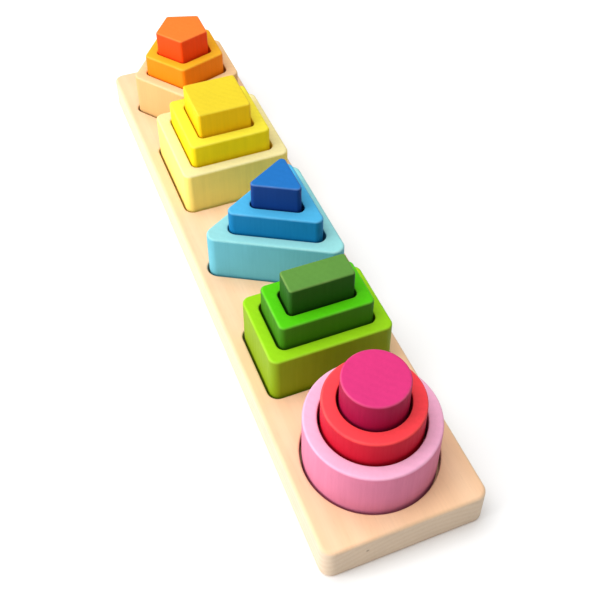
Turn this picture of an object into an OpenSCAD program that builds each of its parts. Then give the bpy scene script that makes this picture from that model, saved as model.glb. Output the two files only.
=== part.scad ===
// Wooden nesting-shape board: a solid board with five shaped recesses in a row. In each
// recess stands a nest of three loose blocks: a large and a medium block with a blind pocket
// in the top, and a small solid block. Millimetres. +Z is up, +X runs along the board towards
// the round blocks, and the origin is the middle of the board's underside.

/* [Board] */
// Thickness of the board
board_thickness = 20; // [14:0.5:30]
// Depth of the five recesses
recess_depth = 8; // [3:0.5:11]
// Radius of the board's four upright corners
board_corner = 6; // [2:0.5:12]
// Wood between the widest recess and the long edge nearest to it
side_margin = 5.1; // [3:0.1:20]
// Wood between the end recesses and the board's ends
end_margin = 8.5; // [4:0.1:30]
// Wood between one recess and the next
row_gap = 8.8; // [4:0.1:30]

/* [Blocks] */
// Height of every block: all fifteen are sawn from stock of one thickness
block_height = 34; // [24:0.5:45]
// How far a medium block stands above its large block
medium_rise = 13.5; // [6:0.5:18]
// How far a small block stands above its medium block
small_rise = 15; // [6:0.5:18]
// Room round a medium or small block in its pocket
fit_gap = 1.2; // [0.8:0.1:1.5]
// Room round a large block in its recess
recess_gap = 1.1; // [0.6:0.1:1.5]
// How far the loose inner blocks of the last three nests lie towards the board's front edge
slack = 0.5; // [0:0.1:0.7]
// Corner radius of the large, medium and small blocks
corners = [4.5, 3, 1.8]; // [1:0.1:5.5]
// How many times rounder the triangular blocks are at the corners
triangle_rounding = 1.3; // [1:0.05:1.6]
// How far the triangle and the pentagon lie towards the front edge, off the middle
point_shift = 1.2; // [0:0.1:2]

/* [Round nest] */
// Diameter of the large round block
circle_width = 62.8; // [50:0.1:90]
// Wall round each pocket of the round blocks
circle_wall = 6.8; // [4:0.1:9]

/* [Rectangular nest] */
// Size of the large rectangular block across the board
rectangle_width = 63.6; // [50:0.1:90]
// Size of the large rectangular block along the board
rectangle_length = 44.5; // [37:0.1:80]
// Wall round each pocket of the rectangular blocks
rectangle_wall = 6.3; // [4:0.1:7.6]

/* [Triangular nest] */
// Distance from the middle of the large triangular block to each of its sides
triangle_reach = 23.7; // [19.5:0.1:36]
// Wall round each pocket of the triangular blocks
triangle_wall = 6.3; // [4:0.1:7.6]

/* [Square nest] */
// Side of the large square block
square_width = 63.4; // [50:0.1:90]
// Wall round each pocket of the square blocks
square_wall = 6.8; // [4:0.1:9]

/* [Pentagonal nest] */
// Distance from the middle of the large pentagonal block to each of its sides
pentagon_reach = 28.5; // [23.5:0.1:45]
// Wall round each pocket of the pentagonal blocks
pentagon_wall = 6.2; // [4:0.1:8]

/* [Hidden] */

$fn = 96;

// The three sizes of block in a nest, and the five nests in their order along the board
LARGE = 0;
MEDIUM = 1;
SMALL = 2;
CIRCLE = 0;
RECTANGLE = 1;
TRIANGLE = 2;
SQUARE = 3;
PENTAGON = 4;

// A pocket's cutter starts this far above the face that it goes into
cutter_run = 1;

// Steps in the round corner of a regular shape
arc_steps = 16;

// Heights of the undersides of the large, medium and small blocks
large_z = board_thickness - recess_depth;
medium_z = large_z + medium_rise;
small_z = medium_z + small_rise;
block_z = [large_z, medium_z, small_z];

// Pockets are deep enough for the next block to stand out by its rise
pocket_depth = [block_height - medium_rise, block_height - small_rise];

// How far inside the large block's outline the outline of the block of this size lies
function inset(size, wall) = size * (wall + fit_gap);

// Radius of the corners of a block of this size
function corner(size) = corners[size];
function triangle_corner(size) = corners[size] * triangle_rounding;

// Half the room that a regular shape with the flat side at +Y takes along X
function half_length(sides, reach, radius) =
    let (core = (reach - radius) / cos(180 / sides))
    max([for (k = [0:sides - 1]) core * cos(90 + (k + 0.5) * 360 / sides)]) + radius;

// How far the tip at -Y lies from the middle of a regular shape with an odd number of sides
function tip_reach(sides, reach, radius) = (reach - radius) / cos(180 / sides) + radius;

triangle_tip = tip_reach(3, triangle_reach, triangle_corner(LARGE));
pentagon_tip = tip_reach(5, pentagon_reach, corner(LARGE));

// Half the length along X of each recess, and where each nest's middle lies along the board
half_recess = [
    circle_width / 2 + recess_gap,
    rectangle_length / 2 + recess_gap,
    half_length(3, triangle_reach, triangle_corner(LARGE)) + recess_gap,
    square_width / 2 + recess_gap,
    half_length(5, pentagon_reach, corner(LARGE)) + recess_gap,
];
function from_end(nest) =
    nest == CIRCLE ? end_margin + half_recess[CIRCLE]
                   : from_end(nest - 1) + half_recess[nest - 1] + row_gap + half_recess[nest];
board_length = from_end(PENTAGON) + half_recess[PENTAGON] + end_margin;
function nest_x(nest) = board_length / 2 - from_end(nest);

// The pointed shapes are centred by their overall size, less the shift towards the front edge
nest_y = [
    0,
    0,
    (triangle_tip - triangle_reach) / 2 - point_shift,
    0,
    (pentagon_tip - pentagon_reach) / 2 - point_shift,
];
widest_half = max(
    circle_width / 2,
    rectangle_width / 2,
    square_width / 2,
    (triangle_tip + triangle_reach) / 2 + point_shift,
    (pentagon_tip + pentagon_reach) / 2 + point_shift
);
board_width = 2 * (widest_half + recess_gap + side_margin);

// A rectangle with round corners
module rounded_rectangle(x, y, radius) {
    square([x, y - 2 * radius], center = true);
    square([x - 2 * radius, y], center = true);
    for (sx = [-1, 1], sy = [-1, 1])
        translate([sx * (x / 2 - radius), sy * (y / 2 - radius)])
            circle(r = radius);
}

// A regular shape with round corners and one flat side at +Y: a smaller shape of the same
// kind, grown by the corner radius
module rounded_regular(sides, reach, radius) {
    core = (reach - radius) / cos(180 / sides);
    turn = 360 / sides;
    polygon([
        for (k = [0:sides - 1], step = [0:arc_steps])
            let (middle = 90 + (k + 0.5) * turn, angle = middle + (step / arc_steps - 0.5) * turn)
            core * [cos(middle), sin(middle)] + radius * [cos(angle), sin(angle)]
    ]);
}

// The outline of each kind of block, grown by a gap where it is the outline of a pocket
module circle_outline(size, gap = 0) {
    circle(d = circle_width - 2 * inset(size, circle_wall) + 2 * gap);
}

module rectangle_outline(size, gap = 0) {
    grow = 2 * gap - 2 * inset(size, rectangle_wall);
    rounded_rectangle(rectangle_length + grow, rectangle_width + grow, corner(size) + gap);
}

module triangle_outline(size, gap = 0) {
    reach = triangle_reach - inset(size, triangle_wall) + gap;
    rounded_regular(3, reach, triangle_corner(size) + gap);
}

module square_outline(size, gap = 0) {
    side = square_width - 2 * inset(size, square_wall) + 2 * gap;
    rounded_rectangle(side, side, corner(size) + gap);
}

module pentagon_outline(size, gap = 0) {
    reach = pentagon_reach - inset(size, pentagon_wall) + gap;
    rounded_regular(5, reach, corner(size) + gap);
}

// Puts a block of this size in its nest, where it stands at rest
module in_nest(nest, size) {
    slide = nest >= TRIANGLE ? size * slack : 0;
    translate([nest_x(nest), nest_y[nest] - slide, block_z[size]])
        children();
}

// A block with its own outline, child 0, and the outline of its pocket, child 1
module pocket_block(size) {
    difference() {
        linear_extrude(block_height)
            children(0);
        translate([0, 0, block_height - pocket_depth[size]])
            linear_extrude(pocket_depth[size] + cutter_run)
                children(1);
    }
}

// Cuts one recess into the board from above
module recess(nest) {
    translate([nest_x(nest), nest_y[nest], large_z])
        linear_extrude(recess_depth + cutter_run)
            children();
}

module board() {
    color("#f6d9b0")
        difference() {
            linear_extrude(board_thickness)
                rounded_rectangle(board_length, board_width, board_corner);
            recess(CIRCLE) circle_outline(LARGE, recess_gap);
            recess(RECTANGLE) rectangle_outline(LARGE, recess_gap);
            recess(TRIANGLE) triangle_outline(LARGE, recess_gap);
            recess(SQUARE) square_outline(LARGE, recess_gap);
            recess(PENTAGON) pentagon_outline(LARGE, recess_gap);
        }
}

module circle_large() {
    color("#fbb5d4")
        in_nest(CIRCLE, LARGE)
            pocket_block(LARGE) {
                circle_outline(LARGE);
                circle_outline(MEDIUM, fit_gap);
            }
}

module circle_medium() {
    color("#f94a4f")
        in_nest(CIRCLE, MEDIUM)
            pocket_block(MEDIUM) {
                circle_outline(MEDIUM);
                circle_outline(SMALL, fit_gap);
            }
}

module circle_small() {
    color("#e93787")
        in_nest(CIRCLE, SMALL)
            linear_extrude(block_height)
                circle_outline(SMALL);
}

module rectangle_large() {
    color("#8fd31f")
        in_nest(RECTANGLE, LARGE)
            pocket_block(LARGE) {
                rectangle_outline(LARGE);
                rectangle_outline(MEDIUM, fit_gap);
            }
}

module rectangle_medium() {
    color("#46bc17")
        in_nest(RECTANGLE, MEDIUM)
            pocket_block(MEDIUM) {
                rectangle_outline(MEDIUM);
                rectangle_outline(SMALL, fit_gap);
            }
}

module rectangle_small() {
    color("#64a845")
        in_nest(RECTANGLE, SMALL)
            linear_extrude(block_height)
                rectangle_outline(SMALL);
}

module triangle_large() {
    color("#97e2f0")
        in_nest(TRIANGLE, LARGE)
            pocket_block(LARGE) {
                triangle_outline(LARGE);
                triangle_outline(MEDIUM, fit_gap);
            }
}

module triangle_medium() {
    color("#50b5ee")
        in_nest(TRIANGLE, MEDIUM)
            pocket_block(MEDIUM) {
                triangle_outline(MEDIUM);
                triangle_outline(SMALL, fit_gap);
            }
}

module triangle_small() {
    color("#267fd8")
        in_nest(TRIANGLE, SMALL)
            linear_extrude(block_height)
                triangle_outline(SMALL);
}

module square_large() {
    color("#fdf0a6")
        in_nest(SQUARE, LARGE)
            pocket_block(LARGE) {
                square_outline(LARGE);
                square_outline(MEDIUM, fit_gap);
            }
}

module square_medium() {
    color("#fde735")
        in_nest(SQUARE, MEDIUM)
            pocket_block(MEDIUM) {
                square_outline(MEDIUM);
                square_outline(SMALL, fit_gap);
            }
}

module square_small() {
    color("#fde13c")
        in_nest(SQUARE, SMALL)
            linear_extrude(block_height)
                square_outline(SMALL);
}

module pentagon_large() {
    color("#fdd58f")
        in_nest(PENTAGON, LARGE)
            pocket_block(LARGE) {
                pentagon_outline(LARGE);
                pentagon_outline(MEDIUM, fit_gap);
            }
}

module pentagon_medium() {
    color("#fda421")
        in_nest(PENTAGON, MEDIUM)
            pocket_block(MEDIUM) {
                pentagon_outline(MEDIUM);
                pentagon_outline(SMALL, fit_gap);
            }
}

module pentagon_small() {
    color("#fb8a3c")
        in_nest(PENTAGON, SMALL)
            linear_extrude(block_height)
                pentagon_outline(SMALL);
}

board();
circle_large();
circle_medium();
circle_small();
rectangle_large();
rectangle_medium();
rectangle_small();
triangle_large();
triangle_medium();
triangle_small();
square_large();
square_medium();
square_small();
pentagon_large();
pentagon_medium();
pentagon_small();
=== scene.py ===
# %% [markdown]
# # A wooden nesting-shape board
#
# Five nests of three stained blocks stand in shallow recesses in a bare birch board. The
# frame already holds every piece as a plain solid with sharp edges. This lesson builds the
# same sixteen pieces again with the soft, sanded edges of a nursery toy, and gives each one
# its wood. All lengths are metres, and `MM` keeps the numbers readable.

# %% Load the frame
from math import cos, pi, sin

import bmesh
import bpy
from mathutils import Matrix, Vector


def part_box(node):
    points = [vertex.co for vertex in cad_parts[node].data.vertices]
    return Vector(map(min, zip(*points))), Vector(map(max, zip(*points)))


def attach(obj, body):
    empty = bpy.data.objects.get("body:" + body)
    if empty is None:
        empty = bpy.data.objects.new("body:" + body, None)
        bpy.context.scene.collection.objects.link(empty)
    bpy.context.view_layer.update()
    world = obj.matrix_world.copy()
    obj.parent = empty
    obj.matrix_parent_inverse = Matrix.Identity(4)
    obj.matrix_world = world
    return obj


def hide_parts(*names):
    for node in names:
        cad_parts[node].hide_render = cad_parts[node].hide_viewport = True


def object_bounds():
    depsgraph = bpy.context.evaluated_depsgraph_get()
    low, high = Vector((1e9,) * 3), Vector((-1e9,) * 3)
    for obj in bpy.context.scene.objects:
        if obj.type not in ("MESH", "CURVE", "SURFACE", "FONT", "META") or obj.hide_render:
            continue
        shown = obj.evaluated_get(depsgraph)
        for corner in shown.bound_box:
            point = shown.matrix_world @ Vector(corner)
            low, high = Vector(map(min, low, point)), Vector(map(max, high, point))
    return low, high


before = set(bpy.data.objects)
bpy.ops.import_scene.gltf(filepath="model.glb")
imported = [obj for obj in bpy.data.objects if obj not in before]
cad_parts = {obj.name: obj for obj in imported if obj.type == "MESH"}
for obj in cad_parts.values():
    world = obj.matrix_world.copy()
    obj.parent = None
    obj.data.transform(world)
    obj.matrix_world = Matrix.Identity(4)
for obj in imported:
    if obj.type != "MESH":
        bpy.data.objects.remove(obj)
cad_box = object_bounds()

MM = 0.001
size = cad_box[1] - cad_box[0]
print("frame: %d nodes, %.1f x %.1f x %.1f mm" % (len(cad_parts), *(size / MM)))

# %% [markdown]
# ## The camera
#
# The toy is seen from over its near end, from above and a little to the left of its long
# axis. A camera can be placed by angles, or by where it stands and what it looks at. The
# second way is easier to picture, so it is used here: the camera stands half a metre off and
# looks at a point just over the board. A vertical shift frames the long board without
# leaning the view back.

# %% Camera
camera = bpy.data.objects.new("camera", bpy.data.cameras.new("camera"))
bpy.context.scene.collection.objects.link(camera)
bpy.context.scene.camera = camera

stand = Vector((0.3557, -0.1183, 0.3980))
target = Vector((-0.0097, 0.0273, 0.0300))
camera.location = stand
camera.rotation_mode = "QUATERNION"
camera.rotation_quaternion = (target - stand).to_track_quat("-Z", "Y")
camera.data.sensor_width = 36
camera.data.lens = 56.5
camera.data.shift_y = -0.16
camera.data.clip_start = 10 * MM
print("camera %.0f mm from its target" % ((target - stand).length / MM))

# %% [markdown]
# ## Colour and node helpers
#
# Stain colours are written as hex values, as in a paint program. Shaders work in linear
# light, so one function converts them. A second small function adds any node, with its
# settings, values and links in one line, so a material reads from top to bottom.

# %% Helpers for materials
def linear(hex_colour):
    """An sRGB hex colour as linear red, green, blue and a full alpha."""
    parts = [int(hex_colour[i:i + 2], 16) / 255 for i in (1, 3, 5)]
    return (*[c / 12.92 if c <= 0.04045 else ((c + 0.055) / 1.055) ** 2.4 for c in parts], 1.0)


def add(tree, kind, sockets=None, **settings):
    """Adds a node. A socket takes a value, or the output socket that is linked to it."""
    made = tree.nodes.new(kind)
    for name, value in settings.items():
        setattr(made, name, value)
    for name, value in (sockets or {}).items():
        if isinstance(value, bpy.types.NodeSocket):
            tree.links.new(value, made.inputs[name])
        else:
            made.inputs[name].default_value = value
    return made


print("mid grey in linear light: %.3f" % linear("#808080")[0])

# %% [markdown]
# ## The grain of birch
#
# Birch has long fine fibres, faint growth rings and pores that run with the fibres. A picture
# of wood could be wrapped on, but it would stretch at the corners and stop at the edges. A
# pattern in the block's own space runs straight through it, as real grain does: it shows as
# lines along the sides and as dots and arcs on the sawn ends. Real fibres are about 0.1 mm
# wide, too fine to see here, so they are drawn 1.3 mm wide and faint. Each pair of sizes is a
# width across the grain and a length along it.

# %% Fibres, pores, rings and patches
FIBRE = (1.3 * MM, 30 * MM)
PORE = (1.1 * MM, 9 * MM)
RING = (3.6 * MM, 28.8 * MM)
PATCH_WIDTH = 14 * MM


def scale_along(axis, across, length):
    """Three scales that count in widths across the grain and in lengths along it."""
    scale = [1 / across] * 3
    scale["XYZ".index(axis)] = 1 / length
    return scale


def grain(tree, along, heart):
    """The patterns of wood that grew along one axis, round a heart line through a point."""
    place = add(tree, "ShaderNodeTexCoord").outputs["Object"]
    fibre_place, pore_place = [
        add(tree, "ShaderNodeMapping", {"Vector": place, "Scale": scale_along(along, *size)})
        for size in (FIBRE, PORE)
    ]
    fibres = add(
        tree, "ShaderNodeTexNoise",
        {"Vector": fibre_place.outputs[0], "Scale": 1.0, "Detail": 3.0},
    )
    pores = add(
        tree, "ShaderNodeTexVoronoi", {"Vector": pore_place.outputs[0], "Scale": 1.0},
    )
    # The wave node repeats each 0.1 pi units
    ring_scale = [0.1 * pi * scale for scale in scale_along(along, *RING)]
    ring_place = add(
        tree, "ShaderNodeMapping",
        {"Vector": place, "Scale": ring_scale,
         "Location": [-scale * h for scale, h in zip(ring_scale, heart)]},
    )
    rings = add(
        tree, "ShaderNodeTexWave",
        {"Vector": ring_place.outputs[0], "Scale": 1.0, "Distortion": 2.4, "Detail": 2.0,
         "Detail Scale": 0.4},
        wave_type="RINGS", rings_direction=along,
    )
    patches = add(
        tree, "ShaderNodeTexNoise", {"Vector": place, "Scale": 1 / PATCH_WIDTH, "Detail": 2.0},
    )
    return {
        "fibres": fibres.outputs["Fac"],
        "pores": pores.outputs["Distance"],
        "rings": rings.outputs["Fac"],
        "patches": patches.outputs["Fac"],
    }


print("grain: fibres %.1f mm, rings %.1f mm, patches %.0f mm"
      % (FIBRE[0] / MM, RING[0] / MM, PATCH_WIDTH / MM))

# %% [markdown]
# ## From patterns to amounts
#
# A finish says what each pattern does in a short line: its name, the part of its range that
# counts, and the two values that this part is spread over. Several such lines multiply. The
# rounded-edge weight is stored on the mesh, and `upright` is how squarely a face looks up or
# down.

# %% Spread and multiply patterns
# These two masks split the level faces from the sides, for the painted lit and shaded tones
LEVEL_FACES = ("upright", 0.15, 0.9, 0, 1)
SIDE_FACES = ("upright", 0.15, 0.9, 1, 0)


def amount(tree, patterns, *lines):
    """The product of some patterns, each spread over its own values."""
    total = None
    for name, start, end, low, high in lines:
        spread = add(
            tree, "ShaderNodeMapRange",
            {"Value": patterns[name], "From Min": start, "From Max": end,
             "To Min": low, "To Max": high},
        ).outputs["Result"]
        if total is None:
            total = spread
        else:
            total = add(
                tree, "ShaderNodeMath", {0: total, 1: spread}, operation="MULTIPLY",
            ).outputs[0]
    return total


print("a face counts as level from %.2f upright" % LEVEL_FACES[2])

# %% [markdown]
# ## Birch under a matt coat
#
# Both finishes are sanded birch with one thin coat of matt lacquer, so one function makes
# them. It lays colours over a base colour, lets the grain make them a little lighter or
# darker, and gives the surface its dullness and its relief. Such a dull coat hardly
# reflects, so its specular level is well under the usual 0.5.

# %% A birch finish
LACQUER_IOR = 1.45
LACQUER_SPECULAR = 0.12
RELIEF_DEPTH = 0.08 * MM


def birch(name, along, heart, base, layers, tones, dullness, relief, strength, knot_at=None):
    """Makes the material of one finish."""
    material = bpy.data.materials.new(name)
    material.use_nodes = True
    tree = material.node_tree
    patterns = grain(tree, along, heart)
    coordinates = add(tree, "ShaderNodeTexCoord")
    normal = add(tree, "ShaderNodeSeparateXYZ", {"Vector": coordinates.outputs["Normal"]})
    upright = add(tree, "ShaderNodeMath", {0: normal.outputs["Z"]}, operation="ABSOLUTE")
    patterns["upright"] = upright.outputs[0]
    patterns["rounded_edge"] = add(tree, "ShaderNodeAttribute", attribute_name="rounded_edge").outputs["Fac"]
    if knot_at:
        patterns["from_knot"] = add(
            tree, "ShaderNodeVectorMath", {0: coordinates.outputs["Object"], 1: knot_at},
            operation="DISTANCE",
        ).outputs["Value"]

    colour = linear(base)
    for over, *lines in layers:
        # The colour sockets of a Mix node are 6 and 7
        colour = add(
            tree, "ShaderNodeMix",
            {"Factor": amount(tree, patterns, *lines), 6: colour, 7: linear(over)},
            data_type="RGBA",
        ).outputs[2]
    shaded = add(
        tree, "ShaderNodeHueSaturation",
        {"Color": colour, "Value": amount(tree, patterns, *tones)},
    )
    bump = add(
        tree, "ShaderNodeBump",
        {"Height": amount(tree, patterns, *relief), "Strength": strength,
         "Distance": RELIEF_DEPTH},
    )
    shader = tree.nodes["Principled BSDF"]
    tree.links.new(shaded.outputs["Color"], shader.inputs["Base Color"])
    tree.links.new(amount(tree, patterns, dullness), shader.inputs["Roughness"])
    tree.links.new(bump.outputs["Normal"], shader.inputs["Normal"])
    shader.inputs["IOR"].default_value = LACQUER_IOR
    shader.inputs["Specular IOR Level"].default_value = LACQUER_SPECULAR
    return material


print("lacquer: IOR %.2f" % LACQUER_IOR)

# %% [markdown]
# ## Stained birch
#
# The blocks are dipped in a water stain before they get their coat. The eye sees a soft,
# even, saturated colour with the wood only just showing through: fine streaks up the sides
# and a little unevenness. The rounded edges are mixed a little towards bare wood, a painted
# highlight where they catch the light. Each block also has two tones of its stain, painted
# light and shade: a lit tone on the level faces and a deeper, shaded tone on the sides.

# %% The stained finish
WOOD = "#eec8a2"


def stained_birch(name, lit_level_colour, shaded_side_colour, heart):
    """Upright-grain birch in one stain, painted lit on its level faces, shaded on its sides
    and highlit on its edges.
    """
    return birch(
        name, "Z", heart, shaded_side_colour,
        layers=(
            # Painted light and shade: the lit tone goes on the level faces, over the shaded
            # tone of the sides
            (lit_level_colour, LEVEL_FACES),
            # A painted highlight: the rounded edges are mixed a little towards bare wood,
            # unevenly in patches
            (WOOD, ("rounded_edge", 0, 1, 0, 1), ("patches", 0.35, 0.65, 0.01, 0.07)),
        ),
        tones=(
            ("fibres", 0.3, 0.7, 0.973, 1.02),
            ("rings", 0, 1, 0.985, 1.01),
            ("patches", 0.3, 0.7, 0.97, 1.02),
            ("pores", 0.08, 0.3, 0.97, 1),
        ),
        dullness=("fibres", 0.3, 0.7, 0.62, 0.52),
        relief=(("fibres", 0, 1, 0, 1), ("pores", 0.05, 0.25, 0.6, 1)),
        strength=0.35,
    )


# Each nest goes from a pale stain on the large block to a deep one on the small block. The
# first colour is for the level faces and the second for the sides. These were not picked by
# hand, except the peach pair: a separate program fitted them over a series of trial renders.
# Painted light and shade: each pair is a lit tone for the level faces and a shaded tone for
# the sides
STAINS = {
    "circle": (
        ("pale_pink", "#ecadcb", "#d17997"),
        ("red", "#f7424a", "#bf132a"),
        ("magenta", "#d03174", "#980d3c"),
    ),
    "rectangle": (
        ("lime", "#90cc11", "#7f9c0d"),
        ("green", "#4dc103", "#3a770d"),
        ("dark_green", "#598a3a", "#21550d"),
    ),
    "triangle": (
        ("pale_blue", "#8ecdce", "#62aebf"),
        ("sky_blue", "#48a9d6", "#0d73a9"),
        ("deep_blue", "#1d6cb5", "#0d377b"),
    ),
    "square": (
        ("cream_yellow", "#e2d69b", "#f3d66f"),
        ("yellow", "#e8da3b", "#f3d50d"),
        ("golden_yellow", "#ddc42a", "#f3c10d"),
    ),
    "pentagon": (
        ("peach", "#e6c191", "#d6ac70"),
        ("orange", "#e8aa22", "#f3850d"),
        ("red_orange", "#f2792d", "#f3490d"),
    ),
}
print("stains: %d" % sum(len(nest) for nest in STAINS.values()))

# %% [markdown]
# ## Bare birch
#
# The board is planed from one plank that grew along its length, then sanded and coated with
# no stain. It is pale cream with a warm cast. The flat-sawn plank shows long soft streaks on
# top and nearly level ring lines on its ends, because the heart of the tree lay well below
# it. Its sides and ends get greyer, less yellow copies of the wood colours as painted shade.
# One pin knot shows as a small dark speck in the near end.

# %% The bare finish
LATE_WOOD = "#eabe94"
# Painted shade: this colour and the next are shaded copies of the wood colours, for the sides
# and ends
SHADED_SIDE_WOOD = "#d6c1a9"
SHADED_LATE_WOOD = "#cfb699"
KNOT = "#6b4a2c"
PLANK_HEART = (0, 12 * MM, -90 * MM)
LATE_RINGS = ("rings", 0, 1, 0, 0.5)

near_end = cad_box[1].x
board_wood = birch(
    "bare_birch", "X", PLANK_HEART, SHADED_SIDE_WOOD,
    layers=(
        # Painted light and shade: the level faces get the lit wood and ring colours, the sides
        # and ends the shaded copies
        (WOOD, LEVEL_FACES),
        (SHADED_LATE_WOOD, LATE_RINGS, SIDE_FACES),
        (LATE_WOOD, LATE_RINGS, LEVEL_FACES),
        (KNOT, ("from_knot", 0.3 * MM, 1.1 * MM, 0.6, 0)),
    ),
    tones=(
        ("fibres", 0.3, 0.7, 0.975, 1.02),
        ("patches", 0.3, 0.7, 0.975, 1.015),
        ("pores", 0.06, 0.25, 0.95, 1),
        # The rounded edges are made a little darker
        ("rounded_edge", 0, 1, 1, 0.965),
    ),
    dullness=("fibres", 0.3, 0.7, 0.6, 0.5),
    relief=(("fibres", 0, 1, 0, 1),),
    strength=0.3,
    knot_at=(near_end, -19.5 * MM, 12.5 * MM),
)
print("board finish:", board_wood.name)

# %% [markdown]
# ## Outlines with round corners
#
# Seen from above, every piece is a shape with round corners: arcs joined by straight sides.
# It could be a sharp solid with a Bevel modifier, but a corner bevelled at 60 degrees is not
# a true arc. Here the piece's side profile is spun round the centre of each corner, as a
# shaper's cutter goes round a template, which is exact for any angle.

# %% Where an outline's corners lie
# The radii are for the large, medium and small blocks, and a triangle's are 1.3 times those
CORNER = (4.5 * MM, 3.0 * MM, 1.8 * MM)
TRIANGLE_CORNER = 1.3
SIDES = {"triangle": 3, "pentagon": 5}


def corners_of(kind, low, high, radius):
    """The centre, first angle and turn of each corner arc of a shape that fills this box."""
    middle, half = (low + high) / 2, (high - low) / 2
    if kind == "circle":
        return [(middle, 0.0, 2 * pi)]
    if kind not in SIDES:
        arm = (half.x - radius, half.y - radius)
        signs = ((1, 1), (-1, 1), (-1, -1), (1, -1))
        return [
            (middle + Vector((sx * arm[0], sy * arm[1], 0)), turn * pi / 2, pi / 2)
            for turn, (sx, sy) in enumerate(signs)
        ]
    # The flat side is at +Y and the tip at -Y, so the box's depth gives the side's distance
    turn = 2 * pi / SIDES[kind]
    slope = 1 / cos(turn / 2)
    reach = (2 * half.y - radius + radius * slope) / (1 + slope)
    core = (reach - radius) * slope
    middle = Vector((middle.x, high.y - reach, 0))
    angles = [pi / 2 + (k + 0.5) * turn for k in range(SIDES[kind])]
    return [
        (middle + core * Vector((cos(a), sin(a), 0)), a - turn / 2, turn) for a in angles
    ]


low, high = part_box("triangle_large")
print("triangle corners:", [
    "%.1f, %.1f" % (c.x / MM, c.y / MM)
    for c, _, _ in corners_of("triangle", low, high, CORNER[0] * TRIANGLE_CORNER)
])

# %% [markdown]
# ## Sweeping a profile round the corners
#
# The profile is a chain of points up the side of the piece. It is spun round each corner, and
# the bridge operator closes the straight side between one corner and the next. Each point
# also carries a weight, which is 1 in the middle of a rounded edge and 0 on the flats. The
# stained finish reads it for a painted highlight on the edges, the bare one to darken them a
# little.

# %% A wall from a profile
ARC_STEPS = 14
CIRCLE_STEPS = 128
LEVEL = 0.001 * MM


def edges_of(geometry):
    """The edges among some geometry."""
    return [g for g in geometry if isinstance(g, bmesh.types.BMEdge)]


def wall(bm, corners, radius, profile):
    """Sweeps a profile of (growth, height, rounded-edge weight), and returns its first and
    last rings.
    """
    layer = bm.verts.layers.float["rounded_edge"]
    older = {e for e in bm.edges if e.is_boundary}
    ends = []
    for centre, start, turn in corners:
        outwards = Vector((cos(start), sin(start), 0))
        column = []
        for growth, height, rounded_edge in profile:
            foot = Vector((centre.x, centre.y, height))
            column.append(bm.verts.new(foot + (radius + growth) * outwards))
            column[-1][layer] = rounded_edge
        chain = [bm.edges.new(pair) for pair in zip(column, column[1:])]
        whole = len(corners) == 1
        spun = bmesh.ops.spin(
            bm, geom=column + chain, cent=(centre.x, centre.y, 0), axis=(0, 0, 1), angle=turn,
            steps=CIRCLE_STEPS if whole else ARC_STEPS, use_merge=whole,
        )
        ends.append((chain, edges_of(spun["geom_last"])))
    if len(corners) > 1:
        for (_, last), (first, _) in zip(ends, ends[1:] + ends[:1]):
            bmesh.ops.bridge_loops(bm, edges=last + first)
    rings = [e for e in bm.edges if e.is_boundary and e not in older]
    return [
        [e for e in rings if abs(e.verts[0].co.z - height) < LEVEL]
        for _, height, _ in (profile[0], profile[-1])
    ]


# %% [markdown]
# ## Closing a rim
#
# The face between a block's top edge and its pocket is a bridge between two rings. The bridge
# operator tells which way round a ring runs from the line between the two rings' middles.
# Two rings at one height have no such line, so one is lifted while the bridge is made.

# %% Bridge two level rings
APART = 100 * MM


def level_bridge(bm, one, other):
    """Joins two rings at one height by flat faces."""
    lifted = list({v for e in other for v in e.verts})
    bmesh.ops.translate(bm, verts=lifted, vec=(0, 0, APART))
    bmesh.ops.bridge_loops(bm, edges=one + other)
    bmesh.ops.translate(bm, verts=lifted, vec=(0, 0, -APART))


# %% [markdown]
# ## Sanded edges
#
# A sanded edge is a quarter round. A ring on the flat just beside it holds the flat face
# flat, because smooth shading would otherwise spread the curve over the whole face.

# %% The profile of a quarter round
EDGE_STEPS = 5
HOLD = 0.35 * MM


def quarter_round(radius, corner_z, down, inwards=-1):
    """From the level face to the upright one: growth, height and rounded-edge weight at each
    step.
    """
    steps = [k / EDGE_STEPS * pi / 2 for k in range(EDGE_STEPS + 1)]
    rounded = [
        (inwards * radius * (1 - sin(t)), corner_z + down * radius * (1 - cos(t)), sin(2 * t))
        for t in steps
    ]
    level = (inwards * (radius + HOLD), corner_z, 0.0)
    upright = (0.0, corner_z + down * (radius + HOLD), 0.0)
    return [level, *rounded, upright]


example = quarter_round(1.2 * MM, 0, 1)
print("an edge of 1.2 mm:", ["%.2f, %.2f" % (g / MM, z / MM) for g, z, _ in example])

# %% [markdown]
# ## What the frame says about the pockets
#
# A block's pocket, or a recess in the board, can be measured in the frame: the points of the
# node that lie at the floor's height are the floor's outline. So the pockets here fit the
# blocks exactly as the solids do.

# %% Measure a pocket
SAME_HEIGHT = 0.01 * MM
ROOM = 2 * MM


def floor_box(node, floor_z, low, high):
    """The corners of the floor at a height, among the node's points near a block's box."""
    points = [
        v.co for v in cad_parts[node].data.vertices
        if abs(v.co.z - floor_z) < SAME_HEIGHT and low.x - ROOM < v.co.x < high.x + ROOM
    ]
    return (
        Vector((min(p.x for p in points), min(p.y for p in points), floor_z)),
        Vector((max(p.x for p in points), max(p.y for p in points), floor_z)),
    )


low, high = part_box("circle_medium")
pocket = floor_box("circle_large", low.z, low, high)
print("pocket for the round medium block: %.1f mm wide" % ((pocket[1].x - pocket[0].x) / MM))

# %% [markdown]
# ## From outline to finished piece
#
# Every piece ends the same way: its normals are turned outwards, the mesh becomes an object,
# and it takes the CAD node's place and rides on its body. A Weighted Normal modifier lets
# the large flat faces decide the shading where they meet the round corners.

# %% Finish a piece
FLAT_WEIGHT = 80


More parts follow.
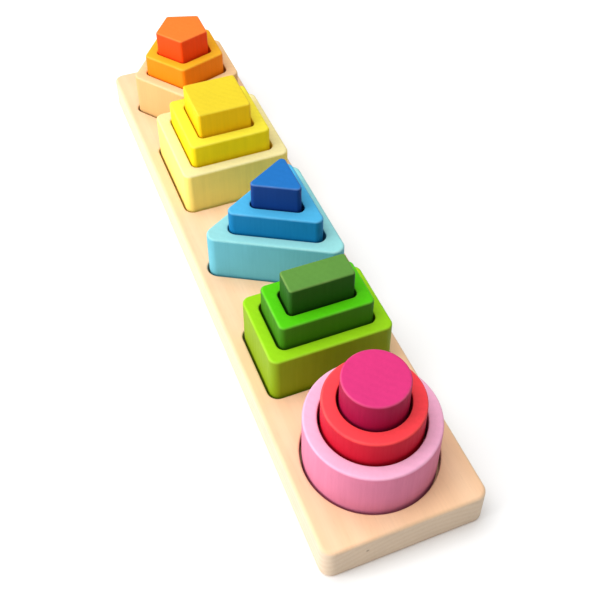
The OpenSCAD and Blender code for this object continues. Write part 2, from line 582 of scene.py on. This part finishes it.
def finish_piece(bm, name, node, material):
    """Makes the object that stands for a CAD node, and reports how well its shell closes."""
    bmesh.ops.recalc_face_normals(bm, faces=bm.faces)
    gaps = sum(len(e.link_faces) != 2 for e in bm.edges)
    print("%s: %d faces, %d open edges, %.1f cm3"
          % (name, len(bm.faces), gaps, bm.calc_volume() * 1e6))
    for face in bm.faces:
        face.smooth = True
    mesh = bpy.data.meshes.new(name)
    bm.to_mesh(mesh)
    bm.free()
    mesh.materials.append(material)
    piece = bpy.data.objects.new(name, mesh)
    bpy.context.scene.collection.objects.link(piece)
    flats = piece.modifiers.new("flat faces stay flat", "WEIGHTED_NORMAL")
    flats.weight = FLAT_WEIGHT
    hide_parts(node)
    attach(piece, node)
    return piece


# %% [markdown]
# ## The blocks
#
# A large or medium block is an outer wall, a rim and a pocket; a small block is solid. The
# outer wall runs from under the block, round the bottom edge, up and round the top edge. The
# rim is a bridge from there to the pocket's ring, and the pocket's wall goes down to its
# floor. Pocket rims are sanded less than outside edges, because paper can't reach far in.

# %% Build the fifteen blocks
OUTER_EDGE = (1.2 * MM, 1.2 * MM, 1.0 * MM)
POCKET_EDGE = 0.7 * MM
FLOOR_EDGE = 0.5 * MM
SIZES = ("large", "medium", "small")
LARGE, MEDIUM, SMALL = range(3)


def corner_radius(kind, step, low, high):
    """The radius of a block's upright corners, or of the whole of a round block."""
    if kind == "circle":
        return (high.x - low.x) / 2
    return CORNER[step] * (TRIANGLE_CORNER if kind == "triangle" else 1)


def pocket_wall(bm, kind, floor, block_radius, block_box, top_z):
    """The wall of a pocket from its rim down to its floor, and the ring of its rim."""
    gap = ((floor[1].x - floor[0].x) - (block_box[1].x - block_box[0].x)) / 2
    radius = block_radius + gap
    corners = corners_of(kind, *floor, radius)
    rim = quarter_round(POCKET_EDGE, top_z, -1, inwards=1)
    foot = quarter_round(FLOOR_EDGE, floor[0].z, 1)
    rim_ring, floor_ring = wall(bm, corners, radius, rim + foot[::-1])
    bmesh.ops.edgeloop_fill(bm, edges=floor_ring)
    return rim_ring


def block(kind, step):
    """Builds one block of a nest, whose step is LARGE, MEDIUM or SMALL."""
    node = "%s_%s" % (kind, SIZES[step])
    low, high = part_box(node)
    radius = corner_radius(kind, step, low, high)
    corners = corners_of(kind, low, high, radius)
    edge = OUTER_EDGE[step]

    bm = bmesh.new()
    bm.verts.layers.float.new("rounded_edge")
    profile = quarter_round(edge, low.z, 1) + quarter_round(edge, high.z, -1)[::-1]
    under, over = wall(bm, corners, radius, profile)
    bmesh.ops.edgeloop_fill(bm, edges=under)
    if step == SMALL:
        bmesh.ops.edgeloop_fill(bm, edges=over)
    else:
        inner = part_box("%s_%s" % (kind, SIZES[step + 1]))
        floor = floor_box(node, inner[0].z, *inner)
        inner_radius = corner_radius(kind, step + 1, *inner)
        rim = pocket_wall(bm, kind, floor, inner_radius, inner, high.z)
        level_bridge(bm, over, rim)

    stain, lit_level_colour, shaded_side_colour = STAINS[kind][step]
    # No two blocks are cut from the same place in the tree
    heart = (low.x - 30 * MM, high.y + (20 + 10 * step) * MM, 0)
    material = stained_birch(stain + "_stained_birch", lit_level_colour, shaded_side_colour, heart)
    return finish_piece(bm, node + "_block", node, material)


for kind in STAINS:
    for step in (LARGE, MEDIUM, SMALL):
        block(kind, step)

# %% [markdown]
# ## The board
#
# The board is one plank with five recesses. Its outer wall and the recess walls are made like
# the blocks' walls. The top between them has five holes, which a bridge can't make, so the
# triangle fill closes the face between all the rims at once.

# %% Build the board
BOARD_CORNER = 6.0 * MM
BOARD_EDGE = 1.8 * MM

low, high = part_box("board")
corners = corners_of("board", low, high, BOARD_CORNER)
bm = bmesh.new()
bm.verts.layers.float.new("rounded_edge")
profile = quarter_round(BOARD_EDGE, low.z, 1) + quarter_round(BOARD_EDGE, high.z, -1)[::-1]
under, over = wall(bm, corners, BOARD_CORNER, profile)
bmesh.ops.edgeloop_fill(bm, edges=under)

rims = list(over)
for kind in STAINS:
    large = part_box(kind + "_large")
    floor = floor_box("board", large[0].z, *large)
    rims += pocket_wall(bm, kind, floor, corner_radius(kind, LARGE, *large), large, high.z)
bmesh.ops.triangle_fill(bm, edges=rims, use_beauty=True)

finish_piece(bm, "birch_board", "board", board_wood)

# %% [markdown]
# ## Floor and light
#
# The toy stands on a plain white floor in a bright studio. One very large lamp hangs over the
# board, so every top is bright and the near sides of the blocks are in soft shade. A second
# large lamp stands low on the left: it lights the long sides and hardly touches the tops. The
# pale surroundings fill the rest.

# %% Floor
FLOOR_REACH = 4.0

bm = bmesh.new()
bmesh.ops.create_grid(bm, x_segments=1, y_segments=1, size=FLOOR_REACH)
bmesh.ops.translate(bm, verts=bm.verts, vec=(0, 0, cad_box[0].z))
floor_mesh = bpy.data.meshes.new("floor")
bm.to_mesh(floor_mesh)
bm.free()
studio_floor = bpy.data.objects.new("floor", floor_mesh)
bpy.context.scene.collection.objects.link(studio_floor)
paper = bpy.data.materials.new("white_paper_sweep")
paper.use_nodes = True
paper_shader = paper.node_tree.nodes["Principled BSDF"]
paper_shader.inputs["Base Color"].default_value = linear("#f6f6f6")
paper_shader.inputs["Roughness"].default_value = 0.9
floor_mesh.materials.append(paper)
print("floor at %.1f mm" % (cad_box[0].z / MM))

# %% Light
TOY_MIDDLE = Vector((0, 0, 30 * MM))


def area_lamp(name, place, width, watts):
    """A square white lamp that faces the middle of the toy."""
    lamp = bpy.data.lights.new(name, "AREA")
    lamp.size = width
    lamp.energy = watts
    made = bpy.data.objects.new(name, lamp)
    made.location = place
    made.rotation_mode = "QUATERNION"
    made.rotation_quaternion = (TOY_MIDDLE - Vector(place)).to_track_quat("-Z", "Y")
    bpy.context.scene.collection.objects.link(made)
    return made


overhead = area_lamp("overhead", (-0.12, -0.25, 1.6), width=1.8, watts=32.5)
left_side = area_lamp("left_side", (-0.1, -1.6, 0.3), width=1.0, watts=31)
world = bpy.data.worlds.new("studio")
bpy.context.scene.world = world
world.use_nodes = True
surroundings = world.node_tree.nodes["Background"]
surroundings.inputs["Color"].default_value = linear("#ffffff")
surroundings.inputs["Strength"].default_value = 0.3
bpy.context.scene.view_settings.view_transform = "Standard"
print("lamps: %.1f W and %.1f W" % (overhead.data.energy, left_side.data.energy))
